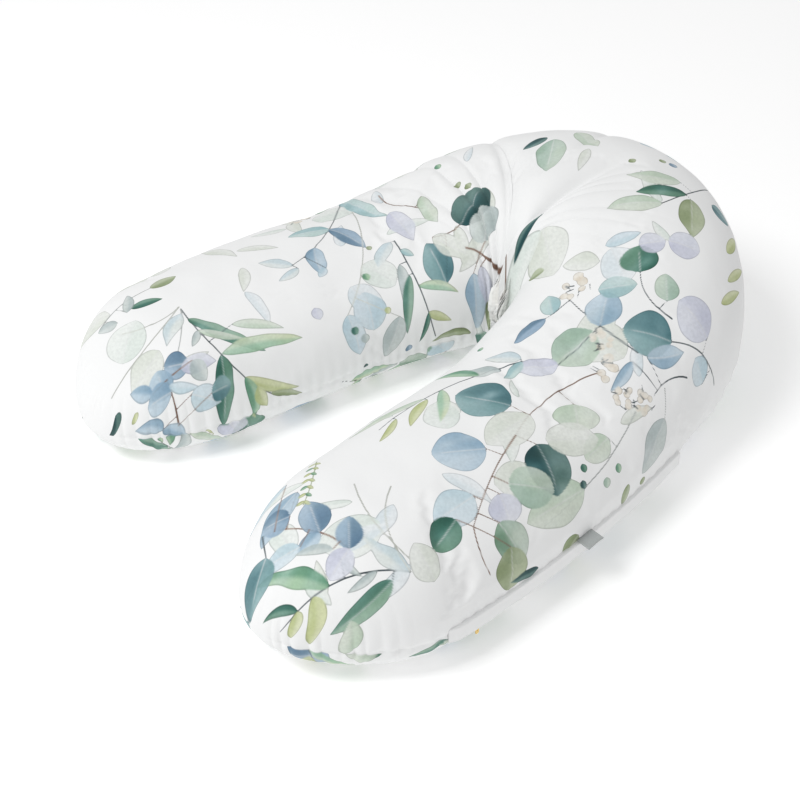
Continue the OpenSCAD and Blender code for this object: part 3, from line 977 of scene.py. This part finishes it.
ROUND_LEAVES = (TEAL, BLUE, MINT, FOREST, ICE, SAGE, LAVENDER, PALE_GREEN)
WILLOW_LEAVES = (WILLOW, GREEN, YELLOW, PALE_GREEN, GREY_LEAF, GREEN_TIP)
PALE_INKS = (GHOST, FAINT_GREEN, FAINT_BLUE)
PALE_LEAVES = 54
SCATTER_SPACING = 95


def place_on_top(side, path, offset):
    middle = centreline(np.array([path], float), side)[0]
    return middle + across(turned(np.array([path], float), side), side)[0] * offset


def pale_leaves(cloth):
    """Faint leaves under the others, all over the top."""
    rng = np.random.RandomState(8)
    for k in range(PALE_LEAVES):
        side = RIGHT if k % 2 else LEFT
        place = place_on_top(side, rng.uniform(30, 730), rng.uniform(-120, 140))
        length = rng.uniform(35, 70)
        width = length * (rng.uniform(0.25, 0.4) if k % 3 else rng.uniform(0.7, 0.95))
        cloth.leaf(place, rng.uniform(0, 360), length, width, PALE_INKS[rng.randint(len(PALE_INKS))], 2.5)


def scattered_places():
    """Where sprays are scattered: over the underside, and down the outside of the bend and the left arm."""
    rng = np.random.RandomState(3)
    for x in range(-380, 420, SCATTER_SPACING):
        for y in range(-440, 430, SCATTER_SPACING):
            yield np.array([UNDERSIDE_PRINT + x, y]) + rng.uniform(-25, 25, 2)
    for side, path in [(RIGHT, 30)] + [(LEFT, path) for path in range(40, 700, 75)]:
        for offset in (155, 240):
            yield place_on_top(side, path, rng.uniform(offset - 15, offset + 15))


def scatter_spray(cloth, place):
    rng = np.random.RandomState(int(abs(place[0]) * 7 + abs(place[1])) % 100000)
    heading = rng.uniform(0, 360)
    length = rng.uniform(60, 100)
    willow = rng.uniform() < 0.5
    leaves = []
    for k in range(5 if willow else 4):
        side = 1 if k % 2 else -1
        size = rng.uniform(45, 65) if willow else rng.uniform(35, 55)
        width = size * (rng.uniform(0.2, 0.3) if willow else rng.uniform(0.75, 0.95))
        inks = (WILLOW_LEAVES if willow else ROUND_LEAVES)[rng.randint(6 if willow else 8)]
        stem = 0 if willow else 10
        leaves.append((0.2 + 0.2 * k, side * stem, side * rng.uniform(30, 60), size, width, inks))
    start = place - on_heading(heading) * length / 2
    cloth.spray(TWIG_DARK if willow else TWIG_BROWN, start, start + on_heading(heading) * length, 6, leaves)


def printed(grid):
    """The print over a grid's points: the sprays that are laid out above, and scattered ones elsewhere."""
    cloth = Print(grid.plane)
    pale_leaves(cloth)
    for spray in SPRAYS:
        cloth.spray(*spray)
    for x, y, heading, length, width, inks in LONE_LEAVES:
        cloth.leaf((x, y), heading, length, width, inks)
    for x, y, radius, inks in BERRIES:
        cloth.leaf((x - radius, y), 0, 2 * radius, 2 * radius, inks)
    for k, (x, y, radius) in enumerate(BLOSSOMS):
        cloth.blossom(x, y, radius, 40 + k)
    cloth.fern(FERN_FROM, FERN_TO)
    for place in scattered_places():
        scatter_spray(cloth, place)
    return cloth


# ---------------------------------------------------------------- materials
def new_material(name, roughness):
    material = bpy.data.materials.new(name)
    material.use_nodes = True
    nodes, links = material.node_tree.nodes, material.node_tree.links
    shader = nodes["Principled BSDF"]
    shader.inputs["Roughness"].default_value = roughness
    return material, nodes, links, shader


def noise(nodes, links, scale, detail=2.0):
    """A noise node on object coordinates, whose scale is in features a metre."""
    where = nodes.new("ShaderNodeTexCoord")
    texture = nodes.new("ShaderNodeTexNoise")
    texture.inputs["Scale"].default_value = scale
    texture.inputs["Detail"].default_value = detail
    links.new(where.outputs["Object"], texture.inputs["Vector"])
    return texture.outputs["Fac"]


def remap(nodes, links, value, low, high, to_low, to_high, smooth_steps=False):
    node = nodes.new("ShaderNodeMapRange")
    node.interpolation_type = "SMOOTHSTEP" if smooth_steps else "LINEAR"
    for name, number in (("From Min", low), ("From Max", high), ("To Min", to_low), ("To Max", to_high)):
        node.inputs[name].default_value = number
    links.new(value, node.inputs["Value"])
    return node.outputs["Result"]


def mixed(nodes, links, factor, a, b, mode="MIX"):
    """A colour mix. Each of factor, a and b is a socket or a plain value."""
    node = nodes.new("ShaderNodeMix")
    node.data_type = "RGBA"
    node.blend_type = mode
    factor_in, a_in, b_in = node.inputs[0], node.inputs[6], node.inputs[7]
    for value, socket in ((factor, factor_in), (a, a_in), (b, b_in)):
        if isinstance(value, bpy.types.NodeSocket):
            links.new(value, socket)
        else:
            socket.default_value = value
    return node.outputs[2]


def bump(nodes, links, shader, layers):
    """Bumps from (height socket, distance in mm, strength), one over the other."""
    normal = None
    for height, distance, strength in layers:
        node = nodes.new("ShaderNodeBump")
        node.inputs["Distance"].default_value = distance * MM
        node.inputs["Strength"].default_value = strength
        links.new(height, node.inputs["Height"])
        if normal:
            links.new(normal, node.inputs["Normal"])
        normal = node.outputs["Normal"]
    links.new(normal, shader.inputs["Normal"])


def cloth_bumps(nodes, links, shader):
    weave = noise(nodes, links, 1400, 1.0)
    crinkle = noise(nodes, links, 45, 3.0)
    bump(nodes, links, shader, [(crinkle, 1.6, 0.35), (weave, 0.15, 0.5)])


COTTON = (0.86, 0.865, 0.865, 1)


def cotton(name, white, has_print=False):
    """Matt woven cotton with faint unevenness, under the print's ink where there is any."""
    material, nodes, links, shader = new_material(name, 0.9)
    shader.inputs["Sheen Weight"].default_value = 0.15
    shader.inputs["Specular IOR Level"].default_value = 0.25
    shade = remap(nodes, links, noise(nodes, links, 9), 0.3, 0.7, 0.975, 1.0)
    colour = mixed(nodes, links, 1.0, white, shade, "MULTIPLY")
    if has_print:
        ink = nodes.new("ShaderNodeAttribute")
        ink.attribute_name = "ink"
        edge = nodes.new("ShaderNodeAttribute")
        edge.attribute_name = "inside_by"
        mask = remap(nodes, links, edge.outputs["Fac"], -0.35, 0.35, 0, 1, True)
        rim = remap(nodes, links, edge.outputs["Fac"], 0.2, 1.8, 0.72, 1.0, True)
        grain = remap(nodes, links, noise(nodes, links, 260), 0.35, 0.65, 0.94, 1.03)
        wet = mixed(nodes, links, 1.0, ink.outputs["Color"], rim, "MULTIPLY")
        wet = mixed(nodes, links, 1.0, wet, grain, "MULTIPLY")
        inked = mixed(nodes, links, 1.0, colour, wet, "MULTIPLY")
        colour = mixed(nodes, links, mask, colour, inked)
    links.new(colour, shader.inputs["Base Color"])
    cloth_bumps(nodes, links, shader)
    return material


def fibre(name):
    material, nodes, links, shader = new_material(name, 1.0)
    tufts = remap(nodes, links, noise(nodes, links, 60, 5.0), 0.3, 0.7, 0.85, 1.0)
    colour = mixed(nodes, links, 1.0, (0.92, 0.92, 0.90, 1), tufts, "MULTIPLY")
    links.new(colour, shader.inputs["Base Color"])
    bump(nodes, links, shader, [(noise(nodes, links, 120, 6.0), 4, 0.7)])
    return material


def satin(name, colour):
    material, nodes, links, shader = new_material(name, 0.38)
    shader.inputs["Sheen Weight"].default_value = 0.3
    thread = noise(nodes, links, 900, 1.0)
    links.new(
        mixed(nodes, links, 1.0, colour, remap(nodes, links, thread, 0.3, 0.7, 0.9, 1.05), "MULTIPLY"),
        shader.inputs["Base Color"],
    )
    bump(nodes, links, shader, [(thread, 0.2, 0.4)])
    return material


def metal(name, colour, roughness):
    material, nodes, links, shader = new_material(name, roughness)
    shader.inputs["Metallic"].default_value = 1.0
    wear = noise(nodes, links, 300, 3.0)
    worn = [c * 0.85 for c in colour[:3]] + [1]
    links.new(mixed(nodes, links, wear, colour, worn), shader.inputs["Base Color"])
    links.new(remap(nodes, links, wear, 0, 1, roughness, roughness + 0.15), shader.inputs["Roughness"])
    return material


def ribbed(name, colour, ribs, roughness):
    """Small even ribs, for the zip's tapes and coils, with painted shade in the grooves between them."""
    material, nodes, links, shader = new_material(name, roughness)
    where = nodes.new("ShaderNodeTexCoord")
    wave = nodes.new("ShaderNodeTexWave")
    wave.bands_direction = "Y"
    wave.inputs["Scale"].default_value = ribs
    links.new(where.outputs["Object"], wave.inputs["Vector"])
    # painted shade: the colour is darker where the ribs' bump is low, in the grooves
    shade = remap(nodes, links, wave.outputs["Fac"], 0, 1, 0.82, 1.0)
    links.new(mixed(nodes, links, 1.0, colour, shade, "MULTIPLY"), shader.inputs["Base Color"])
    bump(nodes, links, shader, [(wave.outputs["Fac"], 0.4, 0.6)])
    return material


cover_print = cotton("cover_print", COTTON, has_print=True)
cover_plain = cotton("cover_plain", COTTON)
liner_cotton = cotton("liner_cotton", (0.83, 0.82, 0.79, 1))
polyester_fibre = fibre("polyester_fibre")
label_satin = satin("label_satin", (0.38, 0.405, 0.40, 1))
gold = metal("zip_gold", (0.86, 0.62, 0.24, 1), 0.22)
steel = metal("zip_stops", (0.74, 0.73, 0.71, 1), 0.3)
tape = ribbed("zip_tape", (0.84, 0.84, 0.83, 1), 320, 0.85)
coil = ribbed("zip_coil", (0.82, 0.82, 0.81, 1), 160, 0.45)

# ---------------------------------------------------------------- cover, liner and stuffing
DETAIL = 1.0
COVER_STEPS = (0.95, 1.5)  # between rings, in the bend and on the arms
COVER_COLUMNS = (290, 84)  # over the top panel and the bottom one
INNER_STEPS = (4, 5)
INNER_COLUMNS = (60, 34)
SIDE_NAMES = {RIGHT: "right", LEFT: "left"}
LINER_INSET = 8
STUFFING_INSET = 13


def nodes_of(layers, part):
    return [f"{layer}_{part}" for layer in layers]


def bend_with_arm(piece):
    """Bakes the piece's placement into its mesh."""
    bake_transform(piece)


def add_print(piece, grid, cloth):
    """Puts the ink on the mesh's points; the last one, at the tip, takes the last ring's."""
    tip = slice(-grid.points.shape[1], None)
    ink = np.concatenate([cloth.ink, cloth.ink[tip].mean(0)[None]])
    edge = np.concatenate([cloth.edge, [cloth.edge[tip].mean()]])
    colour = piece.data.attributes.new("ink", "FLOAT_COLOR", "POINT")
    colour.data.foreach_set("color", np.column_stack([ink, np.ones(len(ink))]).ravel())
    piece.data.attributes.new("inside_by", "FLOAT", "POINT").data.foreach_set("value", edge)


def soft_roll(name, side, grid, push_in, material, layers):
    points = folded(grid)
    if push_in:
        points = points - normals(points, side) * push_in
        points[..., 2] = np.maximum(points[..., 2], push_in / 2)
    piece = mesh_object(f"{name}_{SIDE_NAMES[side]}", grid.vertices(points), grid.faces(), material)
    parts = [SIDE_NAMES[side]] + (["middle"] if side == RIGHT else [])
    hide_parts(*[node for part in parts for node in nodes_of(layers, part)])
    bend_with_arm(piece)
    return piece


for side in (RIGHT, LEFT):
    steps = [step * DETAIL for step in COVER_STEPS]
    grid = Grid(side, *steps, *[round(columns / DETAIL) for columns in COVER_COLUMNS])
    cover = soft_roll("cover", side, grid, 0, cover_print, ("cover_top", "cover_bottom"))
    add_print(cover, grid, printed(grid))
    inner = Grid(side, *INNER_STEPS, *INNER_COLUMNS)
    liner = ("liner_top", "liner_bottom")
    soft_roll("liner", side, inner, LINER_INSET, liner_cotton, liner)
    soft_roll("stuffing", side, inner, STUFFING_INSET, polyester_fibre, ("filling",))

# ---------------------------------------------------------------- the zip, flap and label
LABEL_AT = 428
LABEL_W = 26
LABEL_OUT = 18
LABEL_RISE = 3
LABEL_DROOP = math.radians(6)
LABEL_CURL = 1.2


def assign(material, *names):
    """Gives carried-over CAD nodes their material."""
    for name in names:
        piece = bpy.data.objects[name]
        piece.data.materials.clear()
        piece.data.materials.append(material)


assign(tape, "zip_tape_upper", "zip_tape_lower")
assign(coil, "zip_coil_upper", "zip_coil_lower")
assign(steel, "zip_top_stops", "zip_bottom_stop")
assign(gold, "zip_slider", "zip_pull")


def strip_faces(rows, columns):
    row, column = np.meshgrid(np.arange(rows - 1), np.arange(columns - 1), indexing="ij")
    a = (row * columns + column).ravel()
    return np.stack([a, a + 1, a + columns + 1, a + columns], -1).tolist()


def closed_sheet(name, outer, thickness, material):
    """A sheet with two sides from a grid of points on its outer side."""
    along = np.gradient(outer, axis=0)
    over = np.gradient(outer, axis=1)
    n = np.cross(along, over)
    n /= np.maximum(np.linalg.norm(n, axis=2, keepdims=True), 1e-9)
    rows, columns = outer.shape[:2]
    vertices = np.concatenate([outer.reshape(-1, 3), (outer - n * thickness).reshape(-1, 3)])
    faces = strip_faces(rows, columns)
    back = rows * columns
    faces += [[i + back for i in reversed(f)] for f in faces]
    rim = (
        list(range(columns))
        + list(range(2 * columns - 1, rows * columns, columns))
        + list(range(rows * columns - 2, (rows - 1) * columns - 1, -1))
        + list(range((rows - 2) * columns, 0, -columns))
    )
    faces += [[b, a, a + back, b + back] for a, b in zip(rim, rim[1:] + rim[:1])]
    return mesh_object(name, vertices, faces, material)


def flat_size(points):
    """Width and length, in metres, of the sheet that a grid of points came from."""
    along = np.linalg.norm(np.diff(points, axis=0), axis=2).sum(0).mean()
    over = np.linalg.norm(np.diff(points, axis=1), axis=2).sum(1).mean()
    return min(along, over) * MM, max(along, over) * MM


FLAP_OVERRUN = (12, 28)  # past the zip's open end and its closed end
FLAP_TOP = 8.5  # above the seam's middle
FLAP_DROP = 21
FLAP_SEWN_IN = 1.5  # how far into the seam its upper edge reaches
FLAP_STAND = 3.6  # how far it hangs off the cover


def flap_points():
    """The flap leaves the seam above the zip, rolls over and hangs just outside the cover."""
    paths = np.linspace(ZIP_FROM - FLAP_OVERRUN[0], ZIP_TO + FLAP_OVERRUN[1], 240)
    down = np.linspace(0, 1, 26)
    centre = centreline(paths, RIGHT)
    out = across(turned(paths, RIGHT), RIGHT)
    drop, path = down[None, :], paths[:, None]
    ripple = 0.9 + 0.5 * np.sin(path / 9 + 0.8 * np.sin(path / 27)) + 0.4 * np.sin(path / 23)
    hang = smooth(drop / 0.14)
    closed_end = smooth((paths[-1] - path) / 14)
    rolled_out = (FLAP_STAND + FLAP_SEWN_IN) * hang * (0.35 + 0.65 * closed_end)
    stand = rolled_out - FLAP_SEWN_IN + ripple * drop * 0.8
    reach = ARM_W / 2 + stand + 0.2
    height = SEAM_H + FLAP_TOP - FLAP_DROP * np.maximum(drop - 0.06, 0)
    at = centre[:, None] + reach[..., None] * out[:, None]
    return np.concatenate([at, height[..., None] + 0 * at[..., :1]], -1)


flap = closed_sheet("flap", flap_points(), 1.0, cover_plain)
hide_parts("zip_flap")
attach(flap, "right_arm")
flat_size(flap_points())


def label_points():
    """A folded ribbon that leaves the seam nearly level, curled along its width."""
    share = np.linspace(0, 1, 15)
    width = np.linspace(-0.5, 0.5, 21)
    angle = turned(np.array([LABEL_AT], float), RIGHT)
    out = across(angle, RIGHT)[0]
    along = np.array([out[1], -out[0]])
    root = centreline(np.array([LABEL_AT], float), RIGHT)[0] + out * (ARM_W / 2 + 0.6)
    reach = LABEL_OUT * share[None, :]
    sideways = width[:, None, None] * LABEL_W * along + reach[..., None] * math.cos(LABEL_DROOP) * out
    curl = LABEL_CURL * np.sin(math.pi * (width[:, None] + 0.5)) * share[None, :]
    height = SEAM_H + FLAP_TOP + LABEL_RISE - reach * math.sin(LABEL_DROOP) + curl
    height = np.broadcast_to(height, sideways.shape[:2])
    return np.concatenate([root + sideways, height[..., None]], -1)


label = closed_sheet("label", label_points(), 0.9, label_satin)
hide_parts("side_label")
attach(label, "right_arm")
flat_size(label_points())

# ---------------------------------------------------------------- floor, light and camera
floor_material, nodes, links, floor_shader = new_material("studio_floor", 0.95)
floor_shader.inputs["Base Color"].default_value = (0.9, 0.9, 0.9, 1)
floor_shader.inputs["Emission Color"].default_value = (1, 1, 1, 1)
floor_shader.inputs["Emission Strength"].default_value = 0.25
bpy.ops.mesh.primitive_plane_add(size=14, location=(0, 0, -0.0005))
floor = bpy.context.object
floor.name = "studio_floor"
floor.data.materials.append(floor_material)

world = bpy.data.worlds.new("studio")
bpy.context.scene.world = world
world.use_nodes = True
world.node_tree.nodes["Background"].inputs["Color"].default_value = (1, 1, 1, 1)
world.node_tree.nodes["Background"].inputs["Strength"].default_value = 0.6


def area_light(name, at, target, size, power):
    data = bpy.data.lights.new(name, "AREA")
    data.energy = power
    data.size = size
    light = bpy.data.objects.new(name, data)
    bpy.context.scene.collection.objects.link(light)
    light.location = at
    light.rotation_mode = "QUATERNION"
    light.rotation_quaternion = (Vector(target) - Vector(at)).to_track_quat("-Z", "Y")


area_light("key", at=(-0.1, -1.6, 2.4), target=(0, 0, 0.1), size=1.0, power=36)

CAMERA_TARGET = Vector((7.6, -79.3, 60)) * MM
CAMERA_AZIMUTH = math.radians(56.7)
CAMERA_ELEVATION = math.radians(39.25)
CAMERA_DISTANCE = 1.831
CAMERA_VIEW = math.radians(30.08)
camera_data = bpy.data.cameras.new("camera")
camera_data.sensor_width = 36
camera_data.angle = CAMERA_VIEW
camera = bpy.data.objects.new("camera", camera_data)
bpy.context.scene.collection.objects.link(camera)
back = Vector(
    (
        math.sin(CAMERA_AZIMUTH) * math.cos(CAMERA_ELEVATION),
        -math.cos(CAMERA_AZIMUTH) * math.cos(CAMERA_ELEVATION),
        math.sin(CAMERA_ELEVATION),
    )
)
camera.location = CAMERA_TARGET + back * CAMERA_DISTANCE
camera.rotation_mode = "QUATERNION"
camera.rotation_quaternion = (-back).to_track_quat("-Z", "Y")
bpy.context.scene.camera = camera

scene = bpy.context.scene
scene.view_settings.view_transform = "Standard"
scene.view_settings.look = "None"
